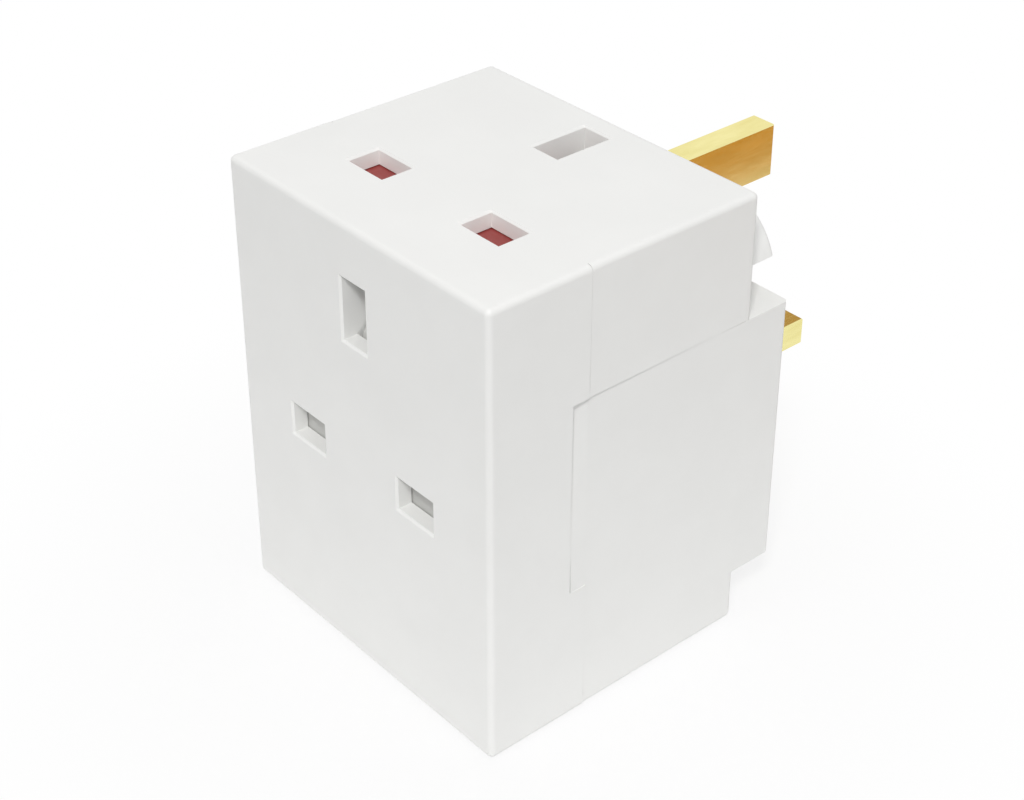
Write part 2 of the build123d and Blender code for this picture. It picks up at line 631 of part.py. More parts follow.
def pin_sleeve(side):
    """The insulating sleeve in the neck of a line or neutral pin, flush with its sides."""
    x = side * PITCH / 2
    sleeve = pin_bar(x, ROW_HEIGHT, sleeve_span(), PIN_WIDTH, PIN_THICK)
    sleeve = chamfer(sleeve.edges().filter_by(Axis.Y), PIN_EDGE_CHAMFER)
    return sleeve - pin_bar(x, ROW_HEIGHT, sleeve_span(), PIN_WIDTH, PIN_THICK, SLEEVE_WALL)


def fuse_axis(z):
    """A sheet across the fuse at a height."""
    return Plane(origin=(0, FUSE_Y, z), x_dir=(1, 0, 0), z_dir=(0, 0, 1))


def fuse_barrel():
    """The fuse's ceramic barrel."""
    low = FUSE_HEIGHT - FUSE_LENGTH / 2 + CAP_WALL
    return extrude(fuse_axis(low) * Circle(FUSE_RADIUS - CAP_WALL), amount=FUSE_LENGTH - 2 * CAP_WALL)


def fuse_end_caps():
    """The metal caps pressed on the two ends of the fuse."""
    low = FUSE_HEIGHT - FUSE_LENGTH / 2
    cap = extrude(fuse_axis(low) * Circle(FUSE_RADIUS), amount=CAP_LENGTH)
    cap -= extrude(fuse_axis(low + CAP_WALL) * Circle(FUSE_RADIUS - CAP_WALL), amount=CAP_LENGTH)
    return cap + mirror(cap, about=fuse_axis(FUSE_HEIGHT))


def fuse_carrier():
    """The tray in the plug face that holds the fuse by its barrel, with a slot to prise it out."""
    face = rear_plane(PLUG_FACE)
    outline = Pos(0, FUSE_HEIGHT) * Rectangle(2 * CARRIER_HALF, CARRIER_LENGTH)
    tray = extrude(face * outline, amount=CARRIER_WALL)
    end = FUSE_HEIGHT + CARRIER_LENGTH / 2
    tray -= block((-PRY_SLOT / 2, PRY_SLOT / 2), (PLUG_FACE - PRY_DEPTH, PLUG_FACE), (end - PRY_DEPTH, end))
    grip = FUSE_RADIUS - CAP_WALL + PIN_FIT
    depth = PLUG_FACE - CARRIER_WALL - FUSE_Y + CRADLE_REACH
    sheet = fuse_axis(FUSE_HEIGHT - CRADLE_LENGTH / 2)
    cradle = Pos(0, depth / 2 - CRADLE_REACH) * Rectangle(2 * (grip + CRADLE_WALL), depth) - Circle(grip)
    return tray + extrude(sheet * cradle, amount=CRADLE_LENGTH)


def case_screws():
    """The screws that hold the plug base and the housing to the posts of the front cover."""
    head_sheet = rear_plane(HEAD_SEAT + SCREW_HEAD_HEIGHT)
    recess = Rectangle(RECESS_SPAN, RECESS_WIDTH) + Rectangle(RECESS_WIDTH, RECESS_SPAN)
    screws = Part()
    for x, z in SCREW_PLACES:
        screw = extrude(head_sheet * Pos(x, z) * Circle(SCREW_HEAD_RADIUS), amount=SCREW_HEAD_HEIGHT)
        screw -= extrude(head_sheet * Pos(x, z) * recess, amount=RECESS_DEPTH)
        screw += extrude(rear_plane(HEAD_SEAT) * Pos(x, z) * Circle(SCREW_RADIUS), amount=SCREW_LENGTH)
        screws += screw
    return screws


def all_nodes():
    """Every piece of the adaptor by its name."""
    nodes = {
        "front_cover": front_cover(),
        "rear_housing": rear_housing(),
        "plug_base": plug_base(),
        "earth_pin": earth_pin(),
        "line_pin": row_pin(1),
        "neutral_pin": row_pin(-1),
        "line_pin_sleeve": pin_sleeve(1),
        "neutral_pin_sleeve": pin_sleeve(-1),
        "line_strip": line_strip(),
        "neutral_strip": neutral_strip(),
        "earth_strip": earth_strip(),
        "line_pin_clip": line_pin_clip(),
        "fuse_barrel": fuse_barrel(),
        "fuse_end_caps": fuse_end_caps(),
        "fuse_carrier": fuse_carrier(),
        "case_screws": case_screws(),
    }
    for name, plane in SOCKETS.items():
        nodes[f"{name}_shutter"] = plane * shutter()
        nodes[f"{name}_shutter_guide"] = plane * shutter_guide()
        nodes[f"{name}_shutter_spring"] = plane * shutter_spring()
    return nodes


os.makedirs("parts", exist_ok=True)
for node_name, solid in all_nodes().items():
    export_step(solid, f"parts/{node_name}.step")
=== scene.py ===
"""Three-way plug-in socket adaptor: finishes, wound springs, case screws, studio and camera."""
import logging
import math
from dataclasses import dataclass
from enum import Enum
from typing import Iterable, Sequence

import bmesh
import bpy
from mathutils import Matrix, Vector


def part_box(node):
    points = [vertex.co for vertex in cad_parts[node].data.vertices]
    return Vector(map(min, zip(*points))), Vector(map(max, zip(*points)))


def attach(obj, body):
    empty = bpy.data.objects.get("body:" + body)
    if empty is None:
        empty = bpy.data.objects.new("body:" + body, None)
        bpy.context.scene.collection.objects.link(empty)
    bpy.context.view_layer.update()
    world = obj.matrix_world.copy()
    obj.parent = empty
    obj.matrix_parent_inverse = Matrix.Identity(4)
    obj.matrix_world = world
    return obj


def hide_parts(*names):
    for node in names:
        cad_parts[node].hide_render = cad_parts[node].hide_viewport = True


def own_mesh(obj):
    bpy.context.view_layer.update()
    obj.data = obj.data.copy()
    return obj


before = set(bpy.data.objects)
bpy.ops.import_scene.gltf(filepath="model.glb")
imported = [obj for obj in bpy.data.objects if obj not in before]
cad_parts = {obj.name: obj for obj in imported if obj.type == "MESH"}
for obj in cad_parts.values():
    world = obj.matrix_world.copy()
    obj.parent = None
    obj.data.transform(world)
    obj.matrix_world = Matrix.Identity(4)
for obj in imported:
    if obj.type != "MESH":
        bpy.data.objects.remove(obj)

Colour = tuple[float, float, float]
Triple = tuple[float, float, float]

LOG = logging.getLogger("adaptor")
MM = 0.001
FULL_TURN = 2.0 * math.pi
SHARP_ANGLE = math.radians(50.0)
EVEN: Triple = (1.0, 1.0, 1.0)
NOISE_RANGE = (0.3, 0.7)
TONE_STOPS = (0.32, 0.68)
CLOUD_LAYERS = 4.0
GRAIN_LAYERS = 2.0
PLASTIC_IOR = 1.49
CERAMIC_IOR = 1.6


class Socket(Enum):
    """The three sockets, each with the direction in which its shutter opens."""

    FRONT = ("front", (0.0, 0.0, -1.0))
    TOP = ("top", (0.0, -1.0, 0.0))
    BOTTOM = ("bottom", (0.0, 1.0, 0.0))

    @property
    def label(self) -> str:
        """The socket's name in the names of its pieces."""
        return self.value[0]

    @property
    def opening(self) -> Vector:
        """The direction in which the shutter slides open."""
        return Vector(self.value[1])


class Body(Enum):
    """The bodies that new pieces ride on."""

    CASE = "case"


class NodeSheet:
    """A material's node tree with short ways to add and join nodes."""

    def __init__(self, name: str) -> None:
        """Start an empty material.

        Args:
            name: The material's name.
        """
        self.material = bpy.data.materials.new(name)
        self.material.use_nodes = True
        self.tree = self.material.node_tree
        self.tree.nodes.clear()
        self.output = self.add("ShaderNodeOutputMaterial")

    def add(self, kind: str, **settings: object) -> bpy.types.Node:
        """Add a node.

        Args:
            kind: The node's type name.
            **settings: Properties of the node to set.

        Returns:
            The new node.
        """
        node = self.tree.nodes.new(kind)
        for key, value in settings.items():
            setattr(node, key, value)
        return node

    def join(self, source: bpy.types.NodeSocket, target: bpy.types.NodeSocket) -> None:
        """Join an output socket to an input socket."""
        self.tree.links.new(source, target)

    def place(self, stretch: Sequence[float] = EVEN) -> bpy.types.NodeSocket:
        """The piece's own coordinates, stretched along each axis.

        Args:
            stretch: How much finer a pattern is along X, Y and Z.

        Returns:
            The vector socket.
        """
        where = self.add("ShaderNodeTexCoord")
        turn = self.add("ShaderNodeMapping")
        turn.inputs["Scale"].default_value = stretch
        self.join(where.outputs["Object"], turn.inputs["Vector"])
        return turn.outputs["Vector"]

    def noise(
        self, where: bpy.types.NodeSocket, scale: float, detail: float
    ) -> bpy.types.NodeSocket:
        """A noise pattern.

        Args:
            where: The coordinates that it lies in.
            scale: Its fineness, in features per metre.
            detail: How many finer layers it has.

        Returns:
            The pattern's value, from 0 to 1.
        """
        node = self.add("ShaderNodeTexNoise")
        node.inputs["Scale"].default_value = scale
        node.inputs["Detail"].default_value = detail
        self.join(where, node.inputs["Vector"])
        return node.outputs["Fac"]

    def ramp(
        self, value: bpy.types.NodeSocket, stops: Iterable[tuple[float, Colour]]
    ) -> bpy.types.NodeSocket:
        """Colours picked by a value.

        Args:
            value: The value.
            stops: Places from 0 to 1 with their colours, in order.

        Returns:
            The colour socket.
        """
        node = self.add("ShaderNodeValToRGB")
        elements = node.color_ramp.elements
        for index, (position, colour) in enumerate(stops):
            element = elements[index] if index < len(elements) else elements.new(position)
            element.position = position
            element.color = (*colour, 1.0)
        self.join(value, node.inputs["Fac"])
        return node.outputs["Color"]

    def span(self, value: bpy.types.NodeSocket, low: float, high: float) -> bpy.types.NodeSocket:
        """A pattern's value laid over a range.

        Args:
            value: The pattern's value.
            low: What its lower values become.
            high: What its higher values become.

        Returns:
            The value socket.
        """
        node = self.add("ShaderNodeMapRange")
        node.inputs["From Min"].default_value, node.inputs["From Max"].default_value = NOISE_RANGE
        node.inputs["To Min"].default_value = low
        node.inputs["To Max"].default_value = high
        self.join(value, node.inputs["Value"])
        return node.outputs["Result"]

    def bump(
        self, height: bpy.types.NodeSocket, strength: float, depth: float
    ) -> bpy.types.NodeSocket:
        """Small relief.

        Args:
            height: The pattern that raises the surface.
            strength: How much of it shows.
            depth: The relief's depth in metres.

        Returns:
            The normal socket.
        """
        node = self.add("ShaderNodeBump")
        node.inputs["Strength"].default_value = strength
        node.inputs["Distance"].default_value = depth
        self.join(height, node.inputs["Height"])
        return node.outputs["Normal"]


@dataclass(frozen=True)
class Finish:
    """A finish's name, the two tones that cloud into each other, its gloss range and its grain."""

    name: str
    light: Colour
    dark: Colour
    smooth: float
    rough: float
    cloud_scale: float = 110.0
    cloud_stretch: Triple = EVEN
    grain_scale: float = 3800.0
    grain_stretch: Triple = EVEN
    relief: float = 0.06
    relief_depth: float = 0.03 * MM

    def shade(self, shader: bpy.types.Node) -> None:
        """Set what is the same all over the surface.

        Args:
            shader: The surface shader.
        """
        raise NotImplementedError

    def material(self) -> bpy.types.Material:
        """Make the material, or give the one that is there.

        Returns:
            The material.
        """
        look = f"{self.name}_finish"
        found = bpy.data.materials.get(look)
        if found is not None:
            return found
        sheet = NodeSheet(look)
        shader = sheet.add("ShaderNodeBsdfPrincipled")
        cloud = sheet.noise(sheet.place(self.cloud_stretch), self.cloud_scale, CLOUD_LAYERS)
        grain = sheet.noise(sheet.place(self.grain_stretch), self.grain_scale, GRAIN_LAYERS)
        tones = sheet.ramp(cloud, zip(TONE_STOPS, (self.dark, self.light)))
        sheet.join(tones, shader.inputs["Base Color"])
        sheet.join(sheet.span(grain, self.smooth, self.rough), shader.inputs["Roughness"])
        sheet.join(sheet.bump(grain, self.relief, self.relief_depth), shader.inputs["Normal"])
        self.shade(shader)
        sheet.join(shader.outputs["BSDF"], sheet.output.inputs["Surface"])
        return sheet.material

    def dress(self, piece: bpy.types.Object) -> None:
        """Put the finish on every material slot of a piece.

        Args:
            piece: The piece to dress.
        """
        if not piece.material_slots:
            piece.data.materials.append(None)
        for place in piece.material_slots:
            place.material = self.material()


@dataclass(frozen=True)
class MouldedPlastic(Finish):
    """Moulded plastic with a fine satin grain."""

    def shade(self, shader: bpy.types.Node) -> None:
        """Set the plastic's reflection."""
        shader.inputs["IOR"].default_value = PLASTIC_IOR


@dataclass(frozen=True)
class DrawnMetal(Finish):
    """Drawn or rolled metal, with fine lines along one axis."""

    edge: Colour = (1.0, 1.0, 1.0)

    def shade(self, shader: bpy.types.Node) -> None:
        """Set the metal's reflection."""
        shader.inputs["Metallic"].default_value = 1.0
        shader.inputs["Specular Tint"].default_value = (*self.edge, 1.0)


@dataclass(frozen=True)
class FiredCeramic(Finish):
    """Unglazed ceramic with a fine chalky grain."""

    def shade(self, shader: bpy.types.Node) -> None:
        """Set the ceramic's reflection."""
        shader.inputs["IOR"].default_value = CERAMIC_IOR


ALONG_PIN: Triple = (1.0, 0.03, 1.0)
DRAWN_OUT: Triple = (1.0, 0.25, 1.0)
ALONG_STRIP: Triple = (1.0, 0.05, 1.0)

WHITE_PLASTIC = MouldedPlastic(
    "white_plastic",
    light=(0.872, 0.872, 0.856),
    dark=(0.856, 0.856, 0.84),
    smooth=0.44,
    rough=0.54,
)
GREY_PLASTIC = MouldedPlastic(
    "grey_plastic",
    light=(0.635, 0.635, 0.625),
    dark=(0.6, 0.6, 0.59),
    smooth=0.4,
    rough=0.52,
)
BLACK_PLASTIC = MouldedPlastic(
    "black_plastic",
    light=(0.034, 0.034, 0.038),
    dark=(0.024, 0.024, 0.027),
    smooth=0.42,
    rough=0.56,
)
# The front shutter's pale plastic, darkened so that it stands for the shade deep inside the front
# slots: painted shade.
SHADE_DARKENED_SHUTTER = MouldedPlastic(
    "pale_shutter",
    light=(0.59, 0.59, 0.57),
    dark=(0.555, 0.555, 0.535),
    smooth=0.4,
    rough=0.5,
)
RED_SHUTTER = MouldedPlastic(
    "red_shutter",
    light=(0.335, 0.055, 0.049),
    dark=(0.285, 0.046, 0.041),
    smooth=0.38,
    rough=0.48,
)
PIN_BRASS = DrawnMetal(
    "pin_brass",
    light=(0.92, 0.86, 0.43),
    dark=(0.82, 0.745, 0.32),
    smooth=0.13,
    rough=0.2,
    cloud_scale=420.0,
    cloud_stretch=DRAWN_OUT,
    grain_scale=9000.0,
    grain_stretch=ALONG_PIN,
    relief=0.03,
    edge=(1.0, 0.92, 0.72),
)
STRIP_BRASS = DrawnMetal(
    "strip_brass",
    light=(0.76, 0.54, 0.2),
    dark=(0.66, 0.44, 0.15),
    smooth=0.28,
    rough=0.44,
    cloud_scale=320.0,
    grain_scale=7000.0,
    grain_stretch=ALONG_STRIP,
)
FUSE_CERAMIC = FiredCeramic(
    "fuse_ceramic",
    light=(0.8, 0.76, 0.66),
    dark=(0.72, 0.68, 0.58),
    smooth=0.7,
    rough=0.85,
    relief=0.2,
)
PLATED_STEEL = DrawnMetal(
    "plated_steel",
    light=(0.74, 0.73, 0.7),
    dark=(0.67, 0.66, 0.63),
    smooth=0.2,
    rough=0.3,
    cloud_scale=500.0,
    relief=0.025,
)
SPRING_STEEL = DrawnMetal(
    "spring_steel",
    light=(0.6, 0.6, 0.61),
    dark=(0.48, 0.48, 0.5),
    smooth=0.22,
    rough=0.36,
    cloud_scale=700.0,
)
SHUTTER_FINISHES: dict[Socket, Finish] = {
    # The front shutter carries painted shade in its darkened tone.
    Socket.FRONT: SHADE_DARKENED_SHUTTER,
    Socket.TOP: RED_SHUTTER,
    Socket.BOTTOM: RED_SHUTTER,
}


def dress_nodes(finish: Finish, names: Iterable[str]) -> None:
    """Put a finish on CAD nodes.

    Args:
        finish: The finish.
        names: The nodes' names.
    """
    for name in names:
        finish.dress(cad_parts[name])
        LOG.info("dressed %s in %s", name, finish.name)


def new_piece(
    name: str, mesh: bmesh.types.BMesh, finish: Finish, body: Body
) -> bpy.types.Object:
    """Turn a finished mesh into a piece that rides on a body.

    Args:
        name: The piece's name.
        mesh: The mesh, in the object's frame. It is freed.
        finish: The finish that it is dressed in.
        body: The body that carries it.

    Returns:
        The piece.
    """
    for edge in mesh.edges:
        edge.smooth = edge.calc_face_angle(0.0) < SHARP_ANGLE
    data = bpy.data.meshes.new(name)
    mesh.to_mesh(data)
    mesh.free()
    piece = bpy.data.objects.new(name, data)
    bpy.context.scene.collection.objects.link(piece)
    for face in data.polygons:
        face.use_smooth = True
    finish.dress(piece)
    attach(piece, body.value)
    LOG.info("built %s with %d faces", name, len(data.polygons))
    return piece


@dataclass
class CaseShells:
    """The front cover and the rear housing."""

    nodes: tuple[str, ...] = ("front_cover", "rear_housing")
    finish: Finish = WHITE_PLASTIC

    def dress(self) -> None:
        """Dress both shells in white plastic."""
        dress_nodes(self.finish, self.nodes)


@dataclass
class PlugBase:
    """The plug base with the fuse carrier in its face."""

    moulding: str = "plug_base"
    carrier: str = "fuse_carrier"

    def dress(self) -> None:
        """Dress the moulding in white and the carrier in grey plastic."""
        dress_nodes(WHITE_PLASTIC, (self.moulding,))
        dress_nodes(GREY_PLASTIC, (self.carrier,))


@dataclass
class PlugPins:
    """The three brass pins and the sleeves on two of them."""

    pins: tuple[str, ...] = ("earth_pin", "line_pin", "neutral_pin")
    sleeves: tuple[str, ...] = ("line_pin_sleeve", "neutral_pin_sleeve")

    def dress(self) -> None:
        """Dress the pins in brass and the sleeves in black plastic."""
        dress_nodes(PIN_BRASS, self.pins)
        dress_nodes(BLACK_PLASTIC, self.sleeves)


@dataclass
class Contacts:
    """The folded strips and clips inside the case."""

    nodes: tuple[str, ...] = ("line_strip", "neutral_strip", "earth_strip", "line_pin_clip")

    def dress(self) -> None:
        """Dress the strips in rolled brass."""
        dress_nodes(STRIP_BRASS, self.nodes)


@dataclass
class CartridgeFuse:
    """The ceramic fuse with its end caps."""

    barrel: str = "fuse_barrel"
    caps: str = "fuse_end_caps"

    def dress(self) -> None:
        """Dress the barrel in ceramic and the caps in plated metal."""
        dress_nodes(FUSE_CERAMIC, (self.barrel,))
        dress_nodes(PLATED_STEEL, (self.caps,))


@dataclass
class CaseScrews:
    """The four pan-head screws in the plug face, with crossed recesses and threads.

    The head's rings are shares of its radius and height, the tip's sizes shares of the core's
    radius, and the thread's root a share of the core's radius too.
    """

    node: str = "case_screws"
    head_radius: float = 2.8 * MM
    crown_radius: float = 1.8 * MM
    shank_radius: float = 1.45 * MM
    core_radius: float = 1.2 * MM
    head_height: float = 2.0 * MM
    head_rings: tuple[tuple[float, float], ...] = (
        (0.83, 0.06),
        (0.94, 0.2),
        (1.0, 0.45),
        (1.0, 1.0),
    )
    tip_reach: float = 1.5
    tip_width: float = 0.15
    recess_reach: float = 1.5 * MM
    recess_width: float = 0.9 * MM
    recess_depth: float = 1.1 * MM
    recess_taper: float = 0.62
    pitch: float = 1.25 * MM
    thread_root: float = 0.95
    plain_turns: int = 2
    thread_turns: int = 12
    sides: int = 32
    turn_steps: int = 18
    turned: tuple[float, ...] = (12.0, 37.0, 61.0, 84.0)

    def add_crown(self, mesh: bmesh.types.BMesh) -> list[bmesh.types.BMEdge]:
        """Make the top of the head with its crossed recess.

        Args:
            mesh: The screw's mesh, with the head's top at nought and +Z out of it.

        Returns:
            The edges round the crown.
        """
        crown = bmesh.ops.create_circle(mesh, segments=self.sides, radius=self.crown_radius)
        rim = list({edge for vert in crown["verts"] for edge in vert.link_edges})
        near, far = self.recess_width / 2, self.recess_reach
        corner = ((far, -near), (far, near), (near, near))
        outline = [
            mesh.verts.new(Matrix.Rotation(turn * FULL_TURN / 4, 3, "Z") @ Vector((x, y, 0.0)))
            for turn in range(4)
            for x, y in corner
        ]
        cross = [mesh.edges.new((vert, outline[index - 1])) for index, vert in enumerate(outline)]
        bmesh.ops.triangle_fill(mesh, edges=rim + cross, use_beauty=True, normal=(0.0, 0.0, 1.0))
        sunk = bmesh.ops.extrude_edge_only(mesh, edges=cross)["geom"]
        floor = [item for item in sunk if isinstance(item, bmesh.types.BMVert)]
        for vert in floor:
            x, y = vert.co.x * self.recess_taper, vert.co.y * self.recess_taper
            vert.co = Vector((x, y, -self.recess_depth))
        level = [
            edge
            for edge in mesh.edges
            if edge.is_boundary and all(vert in floor for vert in edge.verts)
        ]
        bmesh.ops.edgeloop_fill(mesh, edges=level)
        return rim

    def add_sides(
        self, mesh: bmesh.types.BMesh, rim: list[bmesh.types.BMEdge], length: float
    ) -> None:
        """Draw the head's rounded side and the core down from the crown.

        Args:
            mesh: The screw's mesh.
            rim: The edges round the crown.
            length: The screw's whole length.
        """
        rings = [(self.head_radius * out, self.head_height * down) for out, down in self.head_rings]
        rings += [
            (self.core_radius, self.head_height),
            (self.core_radius, length - self.core_radius * self.tip_reach),
            (self.core_radius * self.tip_width, length),
        ]
        for radius, drop in rings:
            made = bmesh.ops.extrude_edge_only(mesh, edges=rim)["geom"]
            for vert in (item for item in made if isinstance(item, bmesh.types.BMVert)):
                out = vert.co.xy.normalized() * radius
                vert.co = Vector((out.x, out.y, -drop))
            new_edges = (item for item in made if isinstance(item, bmesh.types.BMEdge))
            rim = [edge for edge in new_edges if edge.is_boundary]
        bmesh.ops.edgeloop_fill(mesh, edges=rim)

    def add_thread(self, mesh: bmesh.types.BMesh) -> None:
        """Wind the thread round the core.

        Args:
            mesh: The screw's mesh.
        """
        start = -self.head_height - self.pitch * self.plain_turns
        inner = self.core_radius * self.thread_root
        profile = ((inner, 0.0), (self.shank_radius, -self.pitch / 4), (inner, -self.pitch / 2))
        ridge = [mesh.verts.new((radius, 0.0, start + drop)) for radius, drop in profile]
        edges = [mesh.edges.new((vert, ridge[index - 1])) for index, vert in enumerate(ridge)]
        bmesh.ops.spin(
            mesh,
            geom=edges,
            axis=(0.0, 0.0, 1.0),
            dvec=(0.0, 0.0, -self.pitch / self.turn_steps),
            angle=FULL_TURN * self.thread_turns,
            steps=self.thread_turns * self.turn_steps,
        )
        ends = [edge for edge in mesh.edges if edge.is_boundary]
        bmesh.ops.holes_fill(mesh, edges=ends, sides=len(profile))

    def build(self) -> None:
        """Turn the screws in place of the plain ones."""
        low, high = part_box(self.node)
        one = bmesh.new()
        rim = self.add_crown(one)
        self.add_sides(one, rim, high.y - low.y)
        self.add_thread(one)
        bmesh.ops.recalc_face_normals(one, faces=list(one.faces))
        pattern = bpy.data.meshes.new("screw_pattern")
        one.to_mesh(pattern)
        one.free()
        mesh = bmesh.new()
        inset = self.head_radius
        columns, rows = (low.x + inset, high.x - inset), (low.z + inset, high.z - inset)
        places = [(x, z) for x in columns for z in rows]
        upright = Matrix.Rotation(-FULL_TURN / 4, 4, "X")
        for (x, z), turned in zip(places, self.turned):
            start = len(mesh.verts)
            mesh.from_mesh(pattern)
            mesh.verts.ensure_lookup_table()
            spun = Matrix.Rotation(math.radians(turned), 4, "Z")
            place = Matrix.Translation((x, high.y, z)) @ upright @ spun
            bmesh.ops.transform(mesh, matrix=place, verts=mesh.verts[start:])
        bpy.data.meshes.remove(pattern)
        piece = new_piece("turned_case_screws", mesh, PLATED_STEEL, Body.CASE)
        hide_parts(self.node)


@dataclass
class ShutterGear:
    """A socket's shutter, the guide plate under it and its return spring.

    The rise of a closed turn is a share of the wire's thickness.
    """

    socket: Socket
    finish: Finish
    coil_radius: float = 0.95 * MM
    wire: float = 0.32 * MM
    closed_pitch: float = 1.05
    open_turns: int = 5
    turn_steps: int = 20
    wire_sides: int = 8
    travel: float = 5.5 * MM

    def node(self, piece: str) -> str:
        """The name of one of this socket's CAD nodes."""
        return f"{self.socket.label}_{piece}"

    def dress(self) -> None:
        """Dress the shutter and its guide plate."""
        dress_nodes(self.finish, (self.node("shutter"),))
        dress_nodes(WHITE_PLASTIC, (self.node("shutter_guide"),))

    def build(self) -> None:
        """Wind the spring in place of the plain coil, with open turns between closed end turns."""
        low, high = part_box(self.node("shutter_spring"))
        along = -self.socket.opening
        middle = (low + high) / 2
        length = abs((high - low).dot(along)) - self.wire
        start = middle - along * (length / 2)
        radius = self.coil_radius - self.wire / 2
        side = Vector((1.0, 0.0, 0.0))
        mesh = bmesh.new()
        ring = bmesh.ops.create_circle(mesh, segments=self.wire_sides, radius=self.wire / 2)
        across = along.cross(side)
        turn = Matrix((side, along, across)).transposed().to_4x4()
        place = Matrix.Translation(start + side * radius) @ turn
        bmesh.ops.transform(mesh, matrix=place, verts=ring["verts"])
        closed_rise = self.wire * self.closed_pitch
        open_rise = (length - 2 * closed_rise) / self.open_turns
        geometry: list[bmesh.types.BMEdge] = list(mesh.edges)
        for turns, rise in ((1, closed_rise), (self.open_turns, open_rise), (1, closed_rise)):
            made = bmesh.ops.spin(
                mesh,
                geom=geometry,
                cent=start,
                axis=along,
                dvec=along * (rise / self.turn_steps),
                angle=FULL_TURN * turns,
                steps=turns * self.turn_steps,
            )
            geometry = [item for item in made["geom_last"] if isinstance(item, bmesh.types.BMEdge)]
        ends = [edge for edge in mesh.edges if edge.is_boundary]
        bmesh.ops.holes_fill(mesh, edges=ends, sides=self.wire_sides)
        bmesh.ops.recalc_face_normals(mesh, faces=list(mesh.faces))
        piece = new_piece(self.node("wound_spring"), mesh, SPRING_STEEL, Body.CASE)
        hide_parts(self.node("shutter_spring"))
        self.node("shutter_slide")
        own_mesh(piece)


@dataclass(frozen=True)
class Softbox:
    """A square lamp, placed by its direction from the object."""

    name: str
    azimuth: float
    elevation: float
    distance: float
    size: float
    power: float
    glint: bool = True

    def build(self, middle: Vector) -> None:
        """Hang the lamp so that it faces the object.

        Args:
            middle: The object's middle.
        """
        turn, rise = math.radians(self.azimuth), math.radians(self.elevation)
        level = math.cos(rise)
        out = Vector((math.sin(turn) * level, -math.cos(turn) * level, math.sin(rise)))
        data = bpy.data.lights.new(self.name, "AREA")
        data.shape = "SQUARE"
        data.size = self.size
        data.energy = self.power
        lamp = bpy.data.objects.new(self.name, data)
        lamp.location = middle + out * self.distance
        lamp.rotation_euler = (-out).to_track_quat("-Z", "Y").to_euler()
        lamp.visible_glossy = self.glint
        bpy.context.scene.collection.objects.link(lamp)
        LOG.info("hung %s", self.name)


@dataclass(frozen=True)
class PaintedReflection:
    """A level sheet that glows and that only polished pieces pick up: a painted reflection on the
    pins.
    """

    name: str
    place: Triple
    half: float
    tint: Colour


